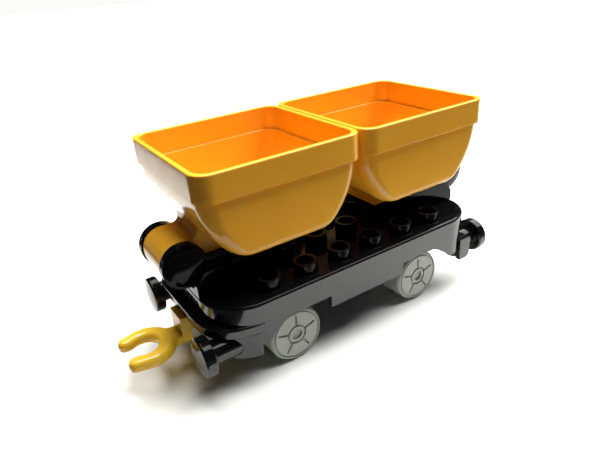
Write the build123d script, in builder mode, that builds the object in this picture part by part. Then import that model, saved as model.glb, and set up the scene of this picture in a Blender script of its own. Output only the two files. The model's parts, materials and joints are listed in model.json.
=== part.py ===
"""Toy train wagon with two tipping hopper buckets, built piece by piece.

The wagon runs along X with its hook at -X.  Z is up and the wheels stand on z = 0.
Sizes are in millimetres.  A side is -1 (hook end, or -Y) or +1 (rear end, or +Y).
"""

import os
from math import acos, atan2, cos, hypot, pi, radians, sin, sqrt

from build123d import *

os.makedirs("parts", exist_ok=True)

# ---- brick grid -----------------------------------------------------------------
pitch = 16.0
stud_r = 4.7
stud_hole_r = 3.3
stud_h = 4.5
wall = 2.2

# ---- fits -----------------------------------------------------------------------
body_gap = 0.35
turn_fit = 0.05
press_fit = 0.02
brick_play = 0.1

# ---- deck and skirt ---------------------------------------------------------------
deck_l = 8 * pitch
deck_w = 4 * pitch
deck_top = 36.0
deck_t = 2.6
corner_r = 17.0
deck_edge_r = 1.0
wheelbase = deck_l / 2 + 0.4
skirt_mid_z = 21.0
skirt_low_z = 18.8
skirt_end_z = 24.0
arch_top_z = 26.0
arch_in = wheelbase / 2 - 13.7
arch_flat = wheelbase / 2 + 3.8
arch_knee = wheelbase / 2 + 8.8
arch_knee_z = 23.6
arch_out = wheelbase / 2 + 14.3
rear_skirt_z = 28.5
apron_in = deck_l / 2 - 14.8
apron_edge_r = 0.8

# ---- wheels and axles ---------------------------------------------------------------
wheel_r = 12.0
tread_r = 11.3
wheel_face_r = 10.7
wheel_groove_r = 10.2
wheel_groove_w = 1.6
wheel_flange_w = 2.2
wheel_w = 13.0
wheel_face_y = deck_w / 2 - 4.8
rim_line_r = 10.2
rim_line_w = 0.6
spoke_out_r = 8.6
hub_r = 3.4
hub_hole_r = 2.3
spoke_count = 5
spoke_turn = 18.0
spoke_groove_w = 0.8
face_recess = 0.9
axle_r = 2.0
axle_z = wheel_r
axle_cover = 2.5

# ---- axle carriers --------------------------------------------------------------------
carrier_l = 10.0
carrier_cheek = 3.0
carrier_plate = 3.0
carrier_side_play = 0.5
carrier_foot = 3.6

# ---- end beams and buffers ---------------------------------------------------------------
beam_in = deck_l / 2 - 10.5
beam_t = 6.2
beam_low_z = 14.0
beam_edge_r = 2.4
beam_groove_w = 0.9
beam_groove_from_end = 2.9
beam_post = 6.0
buffer_y = deck_w / 2 - 7
buffer_stem_r = 4.4
buffer_z = skirt_end_z - buffer_stem_r - 0.3
front_buffer_seat = deck_l / 2 - 8.4
buffer_head_r = 7.5
buffer_face = deck_l / 2 + 6.8
buffer_head_t = 4.2
buffer_dome = 0.9
buffer_spigot_r = 2.4
buffer_spigot_l = 4.5

# ---- front bumper bar ---------------------------------------------------------------------
bar_t = 3.3
bar_h = 4.4
bar_tip_in = deck_l / 2 - 16.4
bar_straight = 12.5
bar_edge_r = 0.9

# ---- tipping hinge --------------------------------------------------------------------------
hinge_x = deck_l / 2 + 1.3
hinge_z = deck_top + 12.3
barrel_r = 7.9
barrel_half = 9.0
hinge_pin_r = 2.0
ear_r = 8.4
ear_t = 3.0
cap_r = 7.5
cap_t = 1.3
cap_seat_r = 2.6
cap_seat_t = 0.8
cap_play = 0.15

# ---- tipper holder -----------------------------------------------------------------------------
holder_l = 2 * pitch
holder_w = 2 * pitch
holder_h = 9.6
holder_end_h = 4.8
holder_slope = 3.6
holder_floor = 2.0
hump_in = deck_l / 2 - 17.4
hump_top = deck_top + 13.2
hump_r = 3.0

# ---- hopper buckets --------------------------------------------------------------------------------
rim_l = deck_l / 2 - 0.4
rim_w = deck_w - 1.6
rim_corner_r = 6.0
rim_top = deck_top + 49.7
rim_band = 9.6
rim_proud = 1.1
rim_split = 0.3
bucket_wall = 2.0
ledge = 1.0
floor_z = deck_top + 16.6
floor_half = 17.5
side_draft = 1.2
side_edge_r = 2.6
low_corner_r = 5.0
end_power = 2.0
end_root = 1.25
rib_inner = 23.2
rib_low_z = deck_top + 7
neck_r = 2.6
neck_rise = 2.0

# ---- hook ------------------------------------------------------------------------------------------
hook_pivot = deck_l / 2 - 14.5
hook_eye_r = 5.6
hook_pin_r = 2.0
hook_z = 13.8
hook_t = 4.8
fork_mid = deck_l / 2 + 18
fork_r = 10.8
pocket_mid = deck_l / 2 + 19
pocket_r = 5.4
hook_tip = deck_l / 2 + 27
hook_mouth = 8.6
hook_prong_w = 5.2
hook_edge_r = 1.9
mouth_edge_r = 2.3
mouth_blend_r = 3.0
neck_half = 4.4
hook_neck_r = 3.0
shoulder_out = deck_l / 2 + 5.2
shoulder_t = 3.8
shoulder_half = 5.0
shoulder_low_z = 13.3
tongue_half = 3.2
tongue_t = 5.0
tongue_z = 18.6
hook_swing = 15.0
clevis_t = 2.0

# ---- rear coupling -------------------------------------------------------------------------------------
draw_reach = deck_l / 2 + 6
draw_half = 6.0
draw_low_z = 16.6
draw_t = 3.0
coupling_x = deck_l / 2 + 1
coupling_r = 3.0
coupling_root_r = 2.6
coupling_low_z = 8.6
coupling_head_r = 4.4
coupling_head_t = 1.4

# ---- derived sizes ----------------------------------------------------------------------------------------
deck_under = deck_top - deck_t
beam_out = beam_in + beam_t
neck_root = shoulder_out - shoulder_t
swing_sin = sin(radians(hook_swing))
window_half = tongue_half + (beam_out - hook_pivot) * swing_sin + 1.2
bay_half = shoulder_half + (neck_root - hook_pivot) * swing_sin + 1.2
buffer_crown = buffer_face + buffer_dome
rear_reach = max(buffer_crown, hinge_x + ear_r)
x_mid = (hook_tip - rear_reach) / 2
far = deck_l
wheel_in_y = wheel_face_y - wheel_w
ear_in = barrel_half + body_gap
ear_out = ear_in + ear_t
bucket_mid = rim_split + rim_l / 2
holder_top = deck_top + holder_h
channel_z = rib_low_z - body_gap
tongue_low = tongue_z - tongue_t / 2
tongue_high = tongue_z + tongue_t / 2


def spot(u):
    """X in the frame of a place u along the wagon from its middle."""
    return x_mid + u


def save(piece, name):
    """Label one finished piece and write its STEP file."""
    piece.part.label = name
    export_step(piece.part, f"parts/{name}.step")


def end_name(end):
    return "front" if end < 0 else "rear"


def side_name(side):
    return "near" if side < 0 else "far"


def buffer_seat(end):
    """Where a buffer's stem bottoms: inside the front apron, or on the rear beam's face."""
    return front_buffer_seat if end < 0 else beam_out


# ---- chassis shell: deck, skirt and studs, one moulding -----------------------------------------------------
with BuildPart() as chassis_shell:
    with BuildSketch(Plane.XY.offset(skirt_low_z)):
        with Locations((x_mid, 0)):
            RectangleRounded(deck_l, deck_w, corner_r)
    extrude(amount=deck_top - skirt_low_z)
    fillet(chassis_shell.faces().sort_by(Axis.Z)[-1].edges(), deck_edge_r)
    with BuildSketch(Plane.XY.offset(skirt_low_z)):
        with Locations((x_mid, 0)):
            RectangleRounded(deck_l - 2 * wall, deck_w - 2 * wall, corner_r - wall)
    extrude(amount=deck_under - skirt_low_z, mode=Mode.SUBTRACT)
    for end, cut_in, cut_z in ((-1, apron_in, skirt_end_z), (1, beam_in, rear_skirt_z)):
        with BuildSketch(Plane.XZ.offset(-deck_w)):
            with BuildLine():
                Polyline(
                    (spot(end * far), 0),
                    (spot(end * far), cut_z),
                    (spot(end * cut_in), cut_z),
                    (spot(end * cut_in), skirt_low_z),
                    (spot(end * arch_out), skirt_low_z),
                )
                ThreePointArc(
                    (spot(end * arch_out), skirt_low_z),
                    (spot(end * arch_knee), arch_knee_z),
                    (spot(end * arch_flat), arch_top_z),
                )
                Polyline(
                    (spot(end * arch_flat), arch_top_z),
                    (spot(end * arch_in), arch_top_z),
                    (spot(end * arch_in), skirt_mid_z),
                    (x_mid, skirt_mid_z),
                    (x_mid, 0),
                    (spot(end * far), 0),
                )
            make_face()
        extrude(amount=2 * deck_w, mode=Mode.SUBTRACT)
    outer_row = [(spot(pitch * (i - 2.5)), side * 1.5 * pitch) for i in range(6) for side in (-1, 1)]
    inner_row = [(spot(pitch * (i - 3.5)), side * 0.5 * pitch) for i in range(8) for side in (-1, 1)]
    with BuildSketch(Plane.XY.offset(deck_top - deck_edge_r)):
        with Locations(*outer_row, *inner_row):
            Circle(stud_r)
    extrude(amount=stud_h + deck_edge_r)
    with BuildSketch(Plane.XY.offset(deck_top)):
        with Locations(*outer_row, *inner_row):
            Circle(stud_hole_r)
    extrude(amount=stud_h, mode=Mode.SUBTRACT)
save(chassis_shell, "chassis_shell")

# ---- axle carriers: a bridge plate under the deck with two bored cheeks ---------------------------------------
carrier_half = wheel_in_y - carrier_side_play
carrier_low = axle_z - carrier_foot
for end in (-1, 1):
    axle_x = spot(end * wheelbase / 2)
    with BuildPart() as axle_carrier:
        with Locations((axle_x, 0, deck_under)):
            Box(
                carrier_l,
                2 * carrier_half,
                carrier_plate,
                align=(Align.CENTER, Align.CENTER, Align.MAX),
            )
        for side in (-1, 1):
            with Locations((axle_x, side * (carrier_half - carrier_cheek / 2), deck_under)):
                Box(
                    carrier_l,
                    carrier_cheek,
                    deck_under - carrier_low,
                    align=(Align.CENTER, Align.CENTER, Align.MAX),
                )
        with BuildSketch(Plane.XZ.offset(-deck_w)):
            with Locations((axle_x, axle_z)):
                Circle(axle_r + turn_fit)
        extrude(amount=2 * deck_w, mode=Mode.SUBTRACT)
    save(axle_carrier, f"{end_name(end)}_axle_carrier")

# ---- wheelsets: a plain axle pressed into two wheels -------------------------------------------------------------
axle_half = wheel_face_y - axle_cover
for end in (-1, 1):
    axle_x = spot(end * wheelbase / 2)
    with BuildPart() as axle:
        with BuildSketch(Plane.XZ.offset(-axle_half)):
            with Locations((axle_x, axle_z)):
                Circle(axle_r)
        extrude(amount=2 * axle_half)
    save(axle, f"{end_name(end)}_axle")

    for side in (-1, 1):
        turn = Axis((axle_x, 0, axle_z), (0, 1, 0))
        with BuildPart() as wheel:
            with BuildSketch(Plane.YZ.offset(axle_x)):
                with BuildLine():
                    Polyline(
                        (side * wheel_in_y, axle_z),
                        (side * wheel_in_y, axle_z + wheel_r),
                        (side * (wheel_in_y + wheel_flange_w), axle_z + wheel_r),
                        (side * (wheel_in_y + wheel_flange_w), axle_z + wheel_groove_r),
                        (side * (wheel_in_y + wheel_flange_w + wheel_groove_w), axle_z + wheel_groove_r),
                        (side * (wheel_in_y + wheel_flange_w + wheel_groove_w), axle_z + tread_r),
                        (side * (wheel_face_y - face_recess), axle_z + tread_r),
                        (side * wheel_face_y, axle_z + wheel_face_r),
                        (side * wheel_face_y, axle_z),
                        close=True,
                    )
                make_face()
            revolve(axis=turn)
            face_plane = Plane(
                (axle_x, side * wheel_face_y, axle_z), x_dir=(1, 0, 0), z_dir=(0, side, 0)
            )
            with BuildSketch(face_plane):
                for i in range(spoke_count):
                    with Locations(Rotation(0, 0, spoke_turn + 360 * i / spoke_count)):
                        with Locations(((spoke_out_r + hub_r) / 2, 0)):
                            Rectangle(spoke_out_r - hub_r, spoke_groove_w)
                Circle(hub_r + spoke_groove_w)
                Circle(hub_r, mode=Mode.SUBTRACT)
                Circle(hub_hole_r)
            extrude(amount=-face_recess, mode=Mode.SUBTRACT)
            with BuildSketch(face_plane):
                Circle(rim_line_r)
                Circle(rim_line_r - rim_line_w, mode=Mode.SUBTRACT)
            extrude(amount=-rim_line_w, mode=Mode.SUBTRACT)
            with BuildSketch(face_plane.offset(-wheel_w)):
                Circle(axle_r + press_fit)
            extrude(amount=wheel_w - axle_cover, mode=Mode.SUBTRACT)
        save(wheel, f"{end_name(end)}_{side_name(side)}_wheel")

# ---- end beams: cross members that carry the buffers and the couplings --------------------------------------------
for end in (-1, 1):
    with BuildPart() as end_beam:
        if end < 0:
            with BuildSketch(Plane.XY.offset(beam_low_z)):
                with Locations((x_mid, 0)):
                    RectangleRounded(deck_l, deck_w, corner_r)
                    RectangleRounded(
                        deck_l - 2 * wall, deck_w - 2 * wall, corner_r - wall, mode=Mode.SUBTRACT
                    )
                with Locations((spot(-beam_in - beam_t / 2), 0)):
                    Rectangle(beam_t, deck_w)
                with Locations((x_mid, 0)):
                    RectangleRounded(deck_l, deck_w, corner_r, mode=Mode.INTERSECT)
                with Locations((spot(far - apron_in), 0)):
                    Rectangle(2 * far, 2 * deck_w, mode=Mode.SUBTRACT)
            extrude(amount=skirt_end_z - beam_low_z)
            low_round = end_beam.faces().sort_by(Axis.Z)[0].edges().filter_by(
                lambda e: e.geom_type == GeomType.CIRCLE and abs(e.radius - corner_r) < 1e-4
            )
            low_front = end_beam.faces().sort_by(Axis.Z)[0].edges().filter_by(Axis.Y).sort_by(Axis.X)[0]
            fillet([*low_round, low_front], apron_edge_r)
            with Locations((spot(-beam_out), 0, beam_low_z)):
                Box(
                    2 * beam_t,
                    2 * bay_half,
                    skirt_end_z,
                    align=(Align.MAX, Align.CENTER, Align.CENTER),
                    mode=Mode.SUBTRACT,
                )
        else:
            with BuildSketch(Plane.XZ.offset(-deck_w / 2)):
                with Locations((spot(beam_in + beam_t / 2), (beam_low_z + skirt_end_z) / 2)):
                    Rectangle(beam_t, skirt_end_z - beam_low_z)
            extrude(amount=deck_w)
            low_out = end_beam.edges().filter_by(Axis.Y).sort_by(Axis.Z)[:2].sort_by(Axis.X)
            fillet(low_out[-1], beam_edge_r)
            with Locations(
                (spot(beam_in), deck_w / 2 - beam_groove_from_end, beam_low_z),
                (spot(beam_in), beam_groove_from_end - deck_w / 2, beam_low_z),
            ):
                Cylinder(
                    beam_groove_w,
                    skirt_end_z - beam_low_z,
                    align=(Align.CENTER, Align.CENTER, Align.MIN),
                    mode=Mode.SUBTRACT,
                )
        with BuildSketch(Plane.XY.offset(skirt_end_z)):
            with Locations(
                (spot(end * (beam_in + beam_t / 2)), deck_w / 4),
                (spot(end * (beam_in + beam_t / 2)), -deck_w / 4),
            ):
                Rectangle(beam_t - 1, beam_post)
        extrude(amount=deck_under - skirt_end_z)
        seat = buffer_seat(end)
        for bore_r, depth in (
            (buffer_spigot_r + press_fit, -end * buffer_spigot_l),
            (buffer_stem_r + press_fit, end * 2 * beam_t),
        ):
            with BuildSketch(Plane.YZ.offset(spot(end * seat))):
                with Locations((buffer_y, buffer_z), (-buffer_y, buffer_z)):
                    Circle(bore_r)
            extrude(amount=depth, mode=Mode.SUBTRACT)
        if end < 0:
            for low in (tongue_low - body_gap - clevis_t, tongue_high + body_gap):
                with BuildSketch(Plane.XY.offset(low)):
                    with Locations((spot(end * hook_pivot), 0)):
                        Circle(hook_eye_r)
                    with Locations((spot(end * (hook_pivot + beam_in) / 2), 0)):
                        Rectangle(beam_in - hook_pivot, 2 * hook_eye_r)
                extrude(amount=clevis_t)
            with Locations((spot(end * (beam_in + beam_t / 2)), 0, tongue_z)):
                Box(3 * beam_t, 2 * window_half, tongue_t + 2 * body_gap, mode=Mode.SUBTRACT)
            with BuildSketch(Plane.XY.offset(tongue_low - body_gap - clevis_t)):
                with Locations((spot(end * hook_pivot), 0)):
                    Circle(hook_pin_r + press_fit)
            extrude(amount=tongue_t + 2 * (body_gap + clevis_t), mode=Mode.SUBTRACT)
        else:
            with BuildSketch(Plane.XY.offset(draw_low_z)):
                with Locations((spot(draw_reach - draw_half), 0)):
                    Circle(draw_half)
                with Locations((spot((beam_out + draw_reach - draw_half) / 2), 0)):
                    Rectangle(draw_reach - draw_half - beam_out, 2 * draw_half)
            extrude(amount=draw_t)
            with BuildSketch(Plane.XY.offset(draw_low_z)):
                with Locations((spot(coupling_x), 0)):
                    Circle(coupling_root_r + press_fit)
            extrude(amount=draw_t, mode=Mode.SUBTRACT)
    save(end_beam, f"{end_name(end)}_beam")

# ---- buffers: turned heads on stems, plugged into the beams -----------------------------------------------------------
head_back = buffer_face - buffer_head_t
for end in (-1, 1):
    seat = buffer_seat(end)
    for side in (-1, 1):
        with BuildPart() as buffer:
            with BuildSketch(Plane.XZ.offset(-side * buffer_y)):
                with BuildLine():
                    Polyline(
                        (spot(end * buffer_crown), buffer_z),
                        (spot(end * (seat - buffer_spigot_l)), buffer_z),
                        (spot(end * (seat - buffer_spigot_l)), buffer_z + buffer_spigot_r),
                        (spot(end * seat), buffer_z + buffer_spigot_r),
                        (spot(end * seat), buffer_z + buffer_stem_r),
                        (spot(end * head_back), buffer_z + buffer_stem_r),
                        (spot(end * head_back), buffer_z + buffer_head_r),
                        (spot(end * buffer_face), buffer_z + buffer_head_r),
                    )
                    Spline(
                        (spot(end * buffer_face), buffer_z + buffer_head_r),
                        (spot(end * buffer_crown), buffer_z),
                        tangents=((end * 0.25, -1), (0, -1)),
                    )
                make_face()
            revolve(axis=Axis((x_mid, side * buffer_y, buffer_z), (1, 0, 0)))
            rings = buffer.edges().filter_by(GeomType.CIRCLE).filter_by(
                lambda e: abs(e.radius - buffer_head_r) < 1e-4
            )
            fillet(rings, bar_edge_r)
        save(buffer, f"{end_name(end)}_{side_name(side)}_buffer")

# ---- front bumper bar: a strip round the hook end, tapering out along both sides -------------------------------------------
bar_out = deck_l / 2 + bar_t
with BuildPart() as bumper_bar:
    with BuildSketch(Plane.XY.offset(skirt_end_z)):
        with BuildLine():
            for side in (-1, 1):
                Line((spot(-bar_out), 0), (spot(-bar_out), side * bar_straight))
                Spline(
                    (spot(-bar_out), side * bar_straight),
                    (spot(-bar_out + corner_r * 0.38), side * (deck_w / 2 - corner_r * 0.22)),
                    (spot(-bar_tip_in), side * (deck_w / 2 + 0.25)),
                    tangents=((0, side), (1, side * 0.04)),
                )
                Line((spot(-bar_tip_in), side * (deck_w / 2 + 0.25)), (spot(-bar_tip_in), 0))
        make_face()
        with Locations((x_mid, 0)):
            RectangleRounded(deck_l, deck_w, corner_r, mode=Mode.SUBTRACT)
    extrude(amount=bar_h)
    outer_face = bumper_bar.faces().filter_by(Axis.X).sort_by(Axis.X)[0]
    fillet(outer_face.edges().filter_by(Axis.Y), bar_edge_r)
save(bumper_bar, "front_bumper_bar")

# ---- tipper holders: blocks on the end studs with a channel, two humps and two ears ------------------------------------------
for end in (-1, 1):
    holder_x = spot(end * (deck_l / 2 - holder_l / 2))
    holder_end = deck_l / 2 - brick_play
    hinge_at = (spot(end * hinge_x), hinge_z)
    with BuildPart() as holder:
        with BuildSketch(Plane.XZ.offset(brick_play - holder_w / 2)):
            with BuildLine():
                Polyline(
                    (spot(end * (deck_l / 2 - holder_l + brick_play)), deck_top),
                    (spot(end * holder_end), deck_top),
                    (spot(end * holder_end), deck_top + holder_end_h),
                    (spot(end * (holder_end - holder_slope)), holder_top),
                    (spot(end * (deck_l / 2 - holder_l + brick_play)), holder_top),
                    close=True,
                )
            make_face()
        extrude(amount=holder_w - 2 * brick_play)
        for side in (-1, 1):
            with BuildSketch(Plane.XZ.offset(-side * ear_in)):
                with Locations(hinge_at):
                    Circle(ear_r)
                with BuildLine():
                    Polyline(
                        (spot(end * hinge_x), hinge_z - ear_r * 0.9),
                        (spot(end * (hinge_x - ear_r * 0.5)), hump_top),
                        (spot(end * (hump_in + hump_r)), hump_top),
                        (spot(end * hump_in), holder_top - 0.5),
                        (spot(end * hump_in), deck_top + holder_floor),
                        (spot(end * (holder_end - 0.5)), deck_top + holder_floor),
                        close=True,
                    )
                make_face()
            extrude(amount=-side * ear_t)
        with Locations((holder_x, 0, channel_z)):
            Box(
                3 * holder_l,
                2 * ear_in,
                3 * ear_r,
                align=(Align.CENTER, Align.CENTER, Align.MIN),
                mode=Mode.SUBTRACT,
            )
        with BuildSketch(Plane.XZ.offset(-ear_in)):
            with Locations(hinge_at):
                Circle(barrel_r + body_gap)
        extrude(amount=2 * ear_in, mode=Mode.SUBTRACT)
        with BuildSketch(Plane.XY.offset(deck_top)):
            with Locations((holder_x, 0)):
                Rectangle(2 * (pitch / 2 + stud_r + press_fit), 2 * (pitch / 2 + stud_r + press_fit))
        extrude(amount=stud_h + body_gap, mode=Mode.SUBTRACT)
        with BuildSketch(Plane.XZ.offset(-ear_out)):
            with Locations(hinge_at):
                Circle(hinge_pin_r + press_fit)
        extrude(amount=2 * ear_out, mode=Mode.SUBTRACT)
        for side in (-1, 1):
            with BuildSketch(Plane.XZ.offset(-side * ear_out)):
                with Locations(hinge_at):
                    Circle(cap_seat_r + press_fit)
            extrude(amount=side * cap_seat_t, mode=Mode.SUBTRACT)
            with BuildSketch(Plane.XZ.offset(-side * ear_out)):
                with Locations(hinge_at):
                    Circle(cap_r + cap_play)
            extrude(amount=-side * (cap_t + cap_seat_t + cap_play), mode=Mode.SUBTRACT)
    save(holder, f"{end_name(end)}_tipper_holder")

    with BuildPart() as hinge_pin:
        with BuildSketch(Plane.XZ.offset(cap_seat_t - ear_out)):
            with Locations(hinge_at):
                Circle(hinge_pin_r)
        extrude(amount=2 * (ear_out - cap_seat_t))
    save(hinge_pin, f"{end_name(end)}_hinge_pin")

    with BuildPart() as hinge_caps:
        for side in (-1, 1):
            with BuildSketch(Plane.YZ.offset(spot(end * hinge_x))):
                with BuildLine():
                    Polyline(
                        (side * (ear_out + cap_t), hinge_z),
                        (side * (ear_out - cap_seat_t), hinge_z),
                        (side * (ear_out - cap_seat_t), hinge_z + cap_seat_r),
                        (side * ear_out, hinge_z + cap_seat_r),
                        (side * ear_out, hinge_z + cap_r),
                        (side * (ear_out + 0.25 * cap_t), hinge_z + cap_r),
                    )
                    Spline(
                        (side * (ear_out + 0.25 * cap_t), hinge_z + cap_r),
                        (side * (ear_out + cap_t), hinge_z),
                        tangents=((side * 0.4, -1), (0, -1)),
                    )
                make_face()
            revolve(axis=Axis((spot(end * hinge_x), 0, hinge_z), (0, 1, 0)))
    save(hinge_caps, f"{end_name(end)}_hinge_caps")


# ---- hopper buckets: lofted tub, rim band, under-rib and hinge barrel, one moulding each ----------------------------------------
band_low = rim_top - rim_band
tub_top_half = rim_l / 2 - rim_proud
tub_side_half = rim_w / 2 - rim_proud


def tub_level(s):
    """Half length and half width of the tub a fraction s of the way down to its floor."""
    half_l = floor_half + (tub_top_half - floor_half) * (1 - s**end_power) ** (1 / end_root)
    height = (1 - s) * (band_low - floor_z)
    edge = max(0.0, side_edge_r - height)
    half_w = tub_side_half - side_draft * s - side_edge_r + sqrt(side_edge_r**2 - edge**2)
    return half_l, half_w


def tub(x, inset, low):
    """Loft the tub shape drawn in by an inset, its floor raised to a given height."""
    levels = [sin(pi / 2 * i / 11) for i in range(12)]
    with BuildPart() as shape:
        for s in levels:
            half_l, half_w = tub_level(s)
            z = band_low - s * (band_low - low)
            with BuildSketch(Plane.XY.offset(z)):
                with Locations((x, 0)):
                    RectangleRounded(
                        2 * (half_l - inset),
                        2 * (half_w - inset),
                        rim_corner_r - (rim_corner_r - low_corner_r) * s - inset / 2,
                    )
        loft()
    return shape.part


neck_low = hinge_z + barrel_r
neck_top = neck_low + neck_r + neck_rise
neck_out = bucket_mid + tub_level((band_low - neck_top) / (band_low - floor_z))[0] - 0.1
for end in (-1, 1):
    tub_x = spot(end * bucket_mid)
    with BuildPart() as bucket:
        add(tub(tub_x, 0, floor_z))
        with BuildSketch(Plane.XY.offset(band_low)):
            with Locations((tub_x, 0)):
                RectangleRounded(rim_l, rim_w, rim_corner_r)
        extrude(amount=rim_band)
        with BuildSketch(Plane.XZ.offset(-barrel_half)):
            with Locations((spot(end * hinge_x), hinge_z)):
                Circle(barrel_r)
            with BuildLine():
                Polyline(
                    (spot(end * rib_inner), rib_low_z),
                    (spot(end * hinge_x), rib_low_z),
                    (spot(end * hinge_x), neck_low),
                    (spot(end * (neck_out + neck_r)), neck_low),
                )
                ThreePointArc(
                    (spot(end * (neck_out + neck_r)), neck_low),
                    (spot(end * (neck_out + neck_r * (1 - sqrt(0.5)))), neck_low + neck_r * (1 - sqrt(0.5))),
                    (spot(end * neck_out), neck_low + neck_r),
                )
                Polyline(
                    (spot(end * neck_out), neck_low + neck_r),
                    (spot(end * neck_out), neck_top),
                    (tub_x, neck_top),
                    (tub_x, floor_z + 1),
                    (spot(end * rib_inner), floor_z + 1),
                    (spot(end * rib_inner), rib_low_z),
                )
            make_face()
        extrude(amount=2 * barrel_half)
        add(tub(tub_x, bucket_wall, floor_z + bucket_wall), mode=Mode.SUBTRACT)
        with BuildSketch(Plane.XY.offset(band_low)):
            with Locations((tub_x, 0)):
                RectangleRounded(
                    rim_l - 2 * bucket_wall + ledge - rim_proud,
                    rim_w - 2 * bucket_wall + ledge - rim_proud,
                    rim_corner_r - bucket_wall / 2,
                )
        extrude(amount=rim_band, mode=Mode.SUBTRACT)
        fillet(bucket.faces().sort_by(Axis.Z)[-1].edges(), bucket_wall / 4)
        with BuildSketch(Plane.XZ.offset(-barrel_half)):
            with Locations((spot(end * hinge_x), hinge_z)):
                Circle(hinge_pin_r + turn_fit)
        extrude(amount=2 * barrel_half, mode=Mode.SUBTRACT)
    save(bucket, f"{end_name(end)}_bucket")

# ---- hook: flat fork, upright shoulder and a tongue to the pivot ------------------------------------------------------------------
prong_mid = (hook_mouth + hook_prong_w) / 2
tip_r = hook_prong_w / 2
prong_end = hook_tip - tip_r
flank_turn = atan2(prong_mid, prong_end - fork_mid) + acos(
    (fork_r - tip_r) / hypot(prong_end - fork_mid, prong_mid)
)


def fork_point(u, y, r, turn, side):
    """Point on a circle of the fork's outline, turned from the outward direction."""
    return spot(-u - r * cos(turn)), side * (y + r * sin(turn))


with BuildPart() as hook:
    with BuildSketch(Plane.XY.offset(hook_z - hook_t / 2)):
        with BuildLine():
            for side in (-1, 1):
                ThreePointArc(
                    (spot(fork_r - fork_mid), 0),
                    fork_point(fork_mid, 0, fork_r, (pi + flank_turn) / 2, side),
                    fork_point(fork_mid, 0, fork_r, flank_turn, side),
                )
                Line(
                    fork_point(fork_mid, 0, fork_r, flank_turn, side),
                    fork_point(prong_end, prong_mid, tip_r, flank_turn, side),
                )
                ThreePointArc(
                    fork_point(prong_end, prong_mid, tip_r, flank_turn, side),
                    fork_point(prong_end, prong_mid, tip_r, flank_turn / 2, side),
                    fork_point(prong_end, prong_mid, tip_r, 0, side),
                )
                Line(fork_point(prong_end, prong_mid, tip_r, 0, side), (spot(-hook_tip), 0))
        make_face()
        with Locations((spot(-(neck_root + fork_mid) / 2), 0)):
            Rectangle(fork_mid - neck_root, 2 * neck_half)
        with Locations((spot(-pocket_mid), 0)):
            Circle(pocket_r, mode=Mode.SUBTRACT)
        with Locations((spot(-(pocket_mid + hook_tip) / 2), 0)):
            Rectangle(hook_tip - pocket_mid, hook_mouth, mode=Mode.SUBTRACT)
    extrude(amount=hook_t)
    uprights = hook.edges().filter_by(Axis.Z)
    neck_corners = uprights.filter_by(
        lambda e: abs(abs(e.center().Y) - neck_half) < 0.01 and e.center().X < spot(-neck_root - 1)
    )
    fillet(neck_corners, hook_neck_r)
    mouth_corners = hook.edges().filter_by(Axis.Z).filter_by(
        lambda e: abs(abs(e.center().Y) - hook_mouth / 2) < 0.01
    )
    fillet(mouth_corners.filter_by(lambda e: e.center().X < spot(0.5 - hook_tip)), mouth_edge_r)
    fillet(mouth_corners.filter_by(lambda e: e.center().X > spot(0.5 - hook_tip)), mouth_blend_r)
    rims = hook.faces().filter_by(Axis.Z).edges().filter_by(
        lambda e: e.center().X < spot(-neck_root) - 0.1
    )
    fillet(rims, hook_edge_r)
    with Locations((spot(shoulder_t / 2 - shoulder_out), 0, shoulder_low_z)):
        Box(
            shoulder_t,
            2 * shoulder_half,
            skirt_end_z - body_gap - shoulder_low_z,
            align=(Align.CENTER, Align.CENTER, Align.MIN),
        )
    with BuildSketch(Plane.XY.offset(tongue_low)):
        with Locations((spot(-hook_pivot), 0)):
            Circle(hook_eye_r - 0.6)
        with Locations((spot(-(hook_pivot + shoulder_out) / 2), 0)):
            Rectangle(shoulder_out - hook_pivot, 2 * tongue_half)
    extrude(amount=tongue_t)
    with BuildSketch(Plane.XY.offset(tongue_low)):
        with Locations((spot(-hook_pivot), 0)):
            Circle(hook_pin_r + turn_fit)
    extrude(amount=tongue_t, mode=Mode.SUBTRACT)
save(hook, "hook")

with BuildPart() as hook_pin:
    with BuildSketch(Plane.XY.offset(tongue_low - body_gap - clevis_t)):
        with Locations((spot(-hook_pivot), 0)):
            Circle(hook_pin_r)
    extrude(amount=tongue_t + 2 * (body_gap + clevis_t))
save(hook_pin, "hook_pivot_pin")

# ---- rear coupling pin: upright post that the fork of a following hook slides round --------------------------------------------------
with BuildPart() as coupling_pin:
    for radius, low, high in (
        (coupling_r, coupling_low_z, draw_low_z),
        (coupling_root_r, draw_low_z, draw_low_z + draw_t),
        (coupling_head_r, draw_low_z + draw_t, draw_low_z + draw_t + coupling_head_t),
    ):
        with BuildSketch(Plane.XY.offset(low)):
            with Locations((spot(coupling_x), 0)):
                Circle(radius)
        extrude(amount=high - low)
save(coupling_pin, "rear_coupling_pin")
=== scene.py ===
"""Looks for the toy wagon with two tipping buckets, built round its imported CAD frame."""

import json
import math

import bmesh
import bpy
from mathutils import Matrix, Vector


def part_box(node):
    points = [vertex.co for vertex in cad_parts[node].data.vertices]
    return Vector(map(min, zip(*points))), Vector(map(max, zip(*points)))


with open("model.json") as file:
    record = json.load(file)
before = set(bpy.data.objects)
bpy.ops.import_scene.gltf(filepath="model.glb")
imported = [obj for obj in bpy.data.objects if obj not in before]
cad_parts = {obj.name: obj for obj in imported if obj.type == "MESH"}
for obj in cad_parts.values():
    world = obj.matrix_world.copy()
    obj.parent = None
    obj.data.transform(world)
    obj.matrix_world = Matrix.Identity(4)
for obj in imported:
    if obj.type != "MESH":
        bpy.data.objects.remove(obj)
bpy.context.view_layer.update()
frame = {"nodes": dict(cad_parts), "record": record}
nodes = frame["nodes"]
record = frame["record"]
scene = bpy.context.scene

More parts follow.
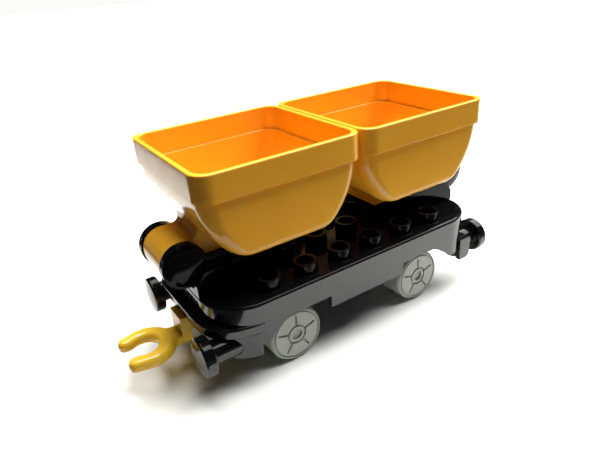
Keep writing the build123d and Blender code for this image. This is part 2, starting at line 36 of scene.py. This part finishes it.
# ---- moulded plastic: scales per metre, depths in metres -----------------------------------------
flow_scale = 38.0
smear_scale = 120.0
wave_scale = 140.0
grain_scale = 1500.0
wave_depth = 0.00012
grain_depth = 0.000012
scratch_depth = 0.00001
scratch_rough = 0.10
scratch_sets = (
    {"turn": (0.3, 0.5, 0.9), "along": 60.0, "across": 2600.0, "keep": 0.66},
    {"turn": (1.2, 0.2, -0.7), "along": 45.0, "across": 2100.0, "keep": 0.67},
)
scatter_depth = 0.0015
scatter_reach = (1.0, 0.45, 0.1)
plastic_ior = 1.5
# width of the ramp into the painted reflection cut above a height
reflection_cut_ramp = 0.0005

# ---- drawn steel ---------------------------------------------------------------------------------
tarnish_scale = 260.0
ring_scale = 3000.0
ring_depth = 0.00001

# ---- camera: angles in degrees, the rest in metres, lens in millimetres --------------------------
view_azimuth = math.radians(-31.928)
view_elevation = math.radians(26.3995)
view_roll = math.radians(-4.5578)
seen_from_camera = Vector((0.0112566, -0.0338358, -0.2388197))
lens = 30.849
film_width = 36.0
nearest_seen = 0.005
farthest_seen = 50

# ---- surroundings --------------------------------------------------------------------------------
floor_half = 14.0
backdrop_r = 4.0
# the dark card is painted shade: a dark sheet that only reflections and bounce light reach,
# darkening the near faces and the left end
card_half = 3.0
card_z = 0.0005
card_front_y = -0.09
card_corner_x = -0.06
card_bend = (-0.13, 0.06)
card_back_x = -0.15
room_colour = (0.9, 0.95, 1.0, 1)
room_strength = 0.03
overhead_energy = 9.8
overhead_angle = math.radians(66)
overhead_colour = (1.0, 0.99, 0.97)
overhead_towards = Vector((-0.50, -0.16, -1.0))


# ---- small helpers for node materials ------------------------------------------------------------
def new_tree(name):
    """An empty node material, as (material, tree)."""
    material = bpy.data.materials.new(name)
    material.use_nodes = True
    material.node_tree.nodes.clear()
    return material, material.node_tree


def add_node(tree, kind, settings=None, **inputs):
    """One shader node, with its settings and the values or links of its inputs."""
    made = tree.nodes.new(kind)
    for key, value in (settings or {}).items():
        setattr(made, key, value)
    for key, value in inputs.items():
        socket = made.inputs[key.replace("_", " ")]
        if isinstance(value, bpy.types.NodeSocket):
            tree.links.new(value, socket)
        else:
            socket.default_value = value
    return made


def object_place(tree):
    """Coordinates that stay with the piece."""
    return tree.nodes.new("ShaderNodeTexCoord").outputs["Object"]


def show(tree, shader, output):
    """Send a shader's output to the surface."""
    out = tree.nodes.new("ShaderNodeOutputMaterial")
    tree.links.new(shader.outputs[output], out.inputs["Surface"])


def noise(tree, place, scale, detail, roughness=0.5):
    """Noise over the piece, 0..1."""
    made = add_node(
        tree, "ShaderNodeTexNoise", Vector=place, Scale=scale, Detail=detail, Roughness=roughness
    )
    return made.outputs["Fac"]


def ramp(tree, factor, stops):
    """A colour ramp over factor with stops of (position, colour or grey)."""
    made = tree.nodes.new("ShaderNodeValToRGB")
    tree.links.new(factor, made.inputs["Fac"])
    elements = made.color_ramp.elements
    while len(elements) < len(stops):
        elements.new(0.5)
    for element, (position, colour) in zip(elements, stops):
        element.position = position
        if isinstance(colour, (int, float)):
            colour = (colour, colour, colour)
        element.color = (*colour, 1)
    return made.outputs["Color"]


def remap(tree, value, low, high, out_low, out_high):
    """value taken from low..high to out_low..out_high, clamped."""
    made = add_node(
        tree,
        "ShaderNodeMapRange",
        {"clamp": True},
        Value=value,
        From_Min=low,
        From_Max=high,
        To_Min=out_low,
        To_Max=out_high,
    )
    return made.outputs["Result"]


def math_node(tree, operation, first, second=0.0):
    """first and second joined by one arithmetic operation."""
    made = tree.nodes.new("ShaderNodeMath")
    made.operation = operation
    for slot, value in enumerate((first, second)):
        if isinstance(value, bpy.types.NodeSocket):
            tree.links.new(value, made.inputs[slot])
        else:
            made.inputs[slot].default_value = value
    return made.outputs[0]


def bump(tree, strength, distance, height, normal, sunk=False):
    """A bump of the surface over another normal, sunk where asked."""
    made = add_node(
        tree,
        "ShaderNodeBump",
        {"invert": sunk},
        Strength=strength,
        Distance=distance,
        Height=height,
        Normal=normal,
    )
    return made.outputs["Normal"]


def scratches(tree, place, turn, along, across, keep):
    """Fine straight marks along one direction, as a 0..1 mask."""
    mapping = add_node(
        tree,
        "ShaderNodeMapping",
        Vector=place,
        Rotation=turn,
        Scale=(along, across, across),
    )
    streaks = noise(tree, mapping.outputs["Vector"], 1.0, 2.0, 0.4)
    return remap(tree, streaks, keep, keep + 0.06, 0.0, 1.0)


def painted_reflection_strength(tree, place, sheen, strength, above):
    """Painted reflection: mirror strength sheen on upright faces, and the weaker strength on level
    ones and on everything above a height.
    """
    normal = tree.nodes.new("ShaderNodeNewGeometry").outputs["Normal"]
    upward = add_node(tree, "ShaderNodeSeparateXYZ", Vector=normal).outputs["Z"]
    level = remap(tree, math_node(tree, "ABSOLUTE", upward), 0.2, 0.9, 0.0, 1.0)
    height = add_node(tree, "ShaderNodeSeparateXYZ", Vector=place).outputs["Z"]
    raised = remap(tree, height, above, above + reflection_cut_ramp, 0.0, 1.0)
    return remap(tree, math_node(tree, "MAXIMUM", level, raised), 0.0, 1.0, sheen, strength)


# ---- materials -----------------------------------------------------------------------------------
def moulded_plastic(
    name, dark, light, gloss, peel, mark_depth, edge, sheen, painted_reflection=None, soft=0.0, worn=0.0
):
    """Injection-moulded plastic: slight flow in its colour, orange peel, handling marks, soft edges.

    sheen is the mirror strength. The argument after it, when given, is a painted reflection: a
    weaker mirror strength and a height, given to level faces and to everything above that height, so
    tops and raised parts show less reflection than upright faces.
    """
    material, tree = new_tree(name)
    place = object_place(tree)
    colour = ramp(tree, noise(tree, place, flow_scale, 3.0, 0.55), [(0.3, dark), (0.7, light)])
    smear = noise(tree, place, smear_scale, 4.0, 0.6)
    rough = remap(tree, smear, 0.3, 0.75, gloss[0], gloss[1])
    first_marks, second_marks = (scratches(tree, place, **marks) for marks in scratch_sets)
    marks = math_node(tree, "MAXIMUM", first_marks, second_marks)
    roughened = math_node(tree, "MULTIPLY", marks, scratch_rough + worn)
    rough = math_node(tree, "ADD", rough, roughened)
    rounded = add_node(tree, "ShaderNodeBevel", {"samples": 4}, Radius=edge)
    wave = noise(tree, place, wave_scale, 1.0, 0.4)
    grain = noise(tree, place, grain_scale, 2.0)
    normal = bump(tree, peel, wave_depth, wave, rounded.outputs["Normal"])
    normal = bump(tree, peel, grain_depth, grain, normal)
    normal = bump(tree, mark_depth, scratch_depth, marks, normal, sunk=True)
    # painted reflection: level faces and raised parts get a weaker mirror than upright faces
    if painted_reflection:
        sheen = painted_reflection_strength(tree, place, sheen, *painted_reflection)
    body = add_node(
        tree,
        "ShaderNodeBsdfPrincipled",
        Base_Color=colour,
        Roughness=rough,
        IOR=plastic_ior,
        Specular_IOR_Level=sheen,
        Subsurface_Weight=soft,
        Subsurface_Scale=scatter_depth,
        Subsurface_Radius=scatter_reach,
        Normal=normal,
    )
    show(tree, body, "BSDF")
    return material


def drawn_steel(name):
    """Bright turned steel with fine rings and a little tarnish."""
    material, tree = new_tree(name)
    place = object_place(tree)
    tarnish = noise(tree, place, tarnish_scale, 4.0, 0.6)
    rings = noise(tree, place, ring_scale, 1.0)
    ringed = add_node(tree, "ShaderNodeBump", Strength=0.3, Distance=ring_depth, Height=rings)
    body = add_node(
        tree,
        "ShaderNodeBsdfPrincipled",
        Base_Color=ramp(tree, tarnish, [(0.3, (0.42, 0.41, 0.39)), (0.7, (0.62, 0.61, 0.6))]),
        Metallic=1.0,
        Roughness=remap(tree, tarnish, 0.3, 0.7, 0.22, 0.42),
        Normal=ringed.outputs["Normal"],
    )
    show(tree, body, "BSDF")
    return material


looks = {
    "black_plastic": moulded_plastic(
        "black_plastic_look",
        dark=(0.0022, 0.0023, 0.0028),
        light=(0.0040, 0.0041, 0.0050),
        gloss=(0.07, 0.14),
        peel=0.12,
        mark_depth=0.3,
        edge=0.0004,
        sheen=0.62,
        # painted reflection: level faces and everything above 35.2 mm mirror at 0.12 instead of
        # 0.62, keeping the deck top, studs and caps dark
        painted_reflection=(0.12, 0.0352),
        worn=0.08,
    ),
    "bucket_plastic": moulded_plastic(
        "bucket_plastic_look",
        dark=(0.89, 0.43, 0.030),
        light=(0.94, 0.47, 0.037),
        gloss=(0.10, 0.17),
        peel=0.12,
        mark_depth=0.25,
        edge=0.0005,
        sheen=0.38,
        soft=0.12,
    ),
    "hook_plastic": moulded_plastic(
        "hook_plastic_look",
        dark=(0.86, 0.50, 0.028),
        light=(0.92, 0.56, 0.034),
        gloss=(0.16, 0.26),
        peel=0.15,
        mark_depth=0.3,
        edge=0.0004,
        sheen=0.45,
        soft=0.12,
    ),
    "wheel_plastic": moulded_plastic(
        "wheel_plastic_look",
        dark=(0.32, 0.345, 0.305),
        light=(0.37, 0.395, 0.355),
        gloss=(0.28, 0.40),
        peel=0.2,
        mark_depth=0.3,
        edge=0.0004,
        sheen=0.5,
    ),
    "steel": drawn_steel("steel_look"),
}
for part in record["subparts"]:
    piece = nodes[part["node"]]
    piece.data.materials.clear()
    piece.data.materials.append(looks[part["material_slot"]])

# ---- camera, aimed through the middle of the deck ------------------------------------------------
deck_low, deck_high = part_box("chassis_shell")
middle = Vector(((deck_low.x + deck_high.x) / 2, 0, 0))
back = Vector(
    (
        math.sin(view_azimuth) * math.cos(view_elevation),
        -math.cos(view_azimuth) * math.cos(view_elevation),
        math.sin(view_elevation),
    )
)
level_right = Vector((math.cos(view_azimuth), math.sin(view_azimuth), 0))
level_up = back.cross(level_right)
right = level_right * math.cos(view_roll) + level_up * math.sin(view_roll)
up = level_up * math.cos(view_roll) - level_right * math.sin(view_roll)
turn = Matrix((right, up, back)).transposed()
camera_data = bpy.data.cameras.new("camera")
camera_data.sensor_fit = "HORIZONTAL"
camera_data.sensor_width = film_width
camera_data.lens = lens
camera_data.clip_start = nearest_seen
camera_data.clip_end = farthest_seen
camera = bpy.data.objects.new("camera", camera_data)
camera.matrix_world = Matrix.Translation(middle - turn @ seen_from_camera) @ turn.to_4x4()
scene.collection.objects.link(camera)
scene.camera = camera


# ---- pale floor, a dark card of painted shade that only the gloss and bounce see, and a pale backdrop ---
def stage_object(name, mesh, kind, output, scale, detail, stops, **inputs):
    """Put a stage mesh in the scene with one shader whose colour drifts between two tones."""
    made = bpy.data.objects.new(name, mesh)
    scene.collection.objects.link(made)
    material, tree = new_tree(f"{name}_look")
    colour = ramp(tree, noise(tree, object_place(tree), scale, detail), stops)
    inputs["Color" if kind == "ShaderNodeEmission" else "Base_Color"] = colour
    show(tree, add_node(tree, kind, **inputs), output)
    mesh.materials.append(material)
    return made


floor_mesh = bpy.data.meshes.new("floor")
floor_mesh.from_pydata(
    [
        (-floor_half, -floor_half, 0),
        (floor_half, -floor_half, 0),
        (floor_half, floor_half, 0),
        (-floor_half, floor_half, 0),
    ],
    [],
    [(0, 1, 2, 3)],
)
stage_object(
    "floor",
    floor_mesh,
    "ShaderNodeBsdfPrincipled",
    "BSDF",
    3.0,
    2.0,
    [(0.3, (0.86, 0.87, 0.84)), (0.7, (0.88, 0.89, 0.86))],
    Roughness=0.9,
)

# painted shade: a dark sheet just above the floor, hidden from the camera and casting no shadow,
# darkens the reflections and bounce light on the near faces
card_mesh = bpy.data.meshes.new("dark_card")
card_mesh.from_pydata(
    [
        (-card_half, -card_half, card_z),
        (card_half, -card_half, card_z),
        (card_half, card_front_y, card_z),
        (card_corner_x, card_front_y, card_z),
        (*card_bend, card_z),
        (card_back_x, card_half, card_z),
        (-card_half, card_half, card_z),
    ],
    [],
    [(0, 1, 2, 3), (0, 3, 4, 5, 6)],
)
card = stage_object(
    "dark_card",
    card_mesh,
    "ShaderNodeBsdfPrincipled",
    "BSDF",
    20.0,
    2.0,
    [(0.3, 0.012), (0.7, 0.02)],
    Roughness=0.95,
)
card.visible_camera = False
card.visible_shadow = False

dome_mesh = bpy.data.meshes.new("backdrop")
dome_shape = bmesh.new()
bmesh.ops.create_uvsphere(dome_shape, u_segments=64, v_segments=32, radius=backdrop_r)
dome_shape.to_mesh(dome_mesh)
dome_shape.free()
dome = stage_object(
    "backdrop",
    dome_mesh,
    "ShaderNodeEmission",
    "Emission",
    0.2,
    1.0,
    [(0.3, (0.95, 0.97, 0.93)), (0.7, (0.96, 0.98, 0.94))],
)
dome.visible_diffuse = False
dome.visible_glossy = False
dome.visible_transmission = False
dome.visible_shadow = False

# ---- soft light from above, and a dim room -------------------------------------------------------
world = bpy.data.worlds.new("world")
world.use_nodes = True
room = world.node_tree.nodes["Background"]
room.inputs["Color"].default_value = room_colour
room.inputs["Strength"].default_value = room_strength
scene.world = world

overhead_data = bpy.data.lights.new("overhead", "SUN")
overhead_data.energy = overhead_energy
overhead_data.angle = overhead_angle
overhead_data.color = overhead_colour
overhead = bpy.data.objects.new("overhead", overhead_data)
overhead.rotation_mode = "QUATERNION"
overhead.rotation_quaternion = overhead_towards.to_track_quat("-Z", "Y")
scene.collection.objects.link(overhead)

scene.view_settings.view_transform = "Standard"
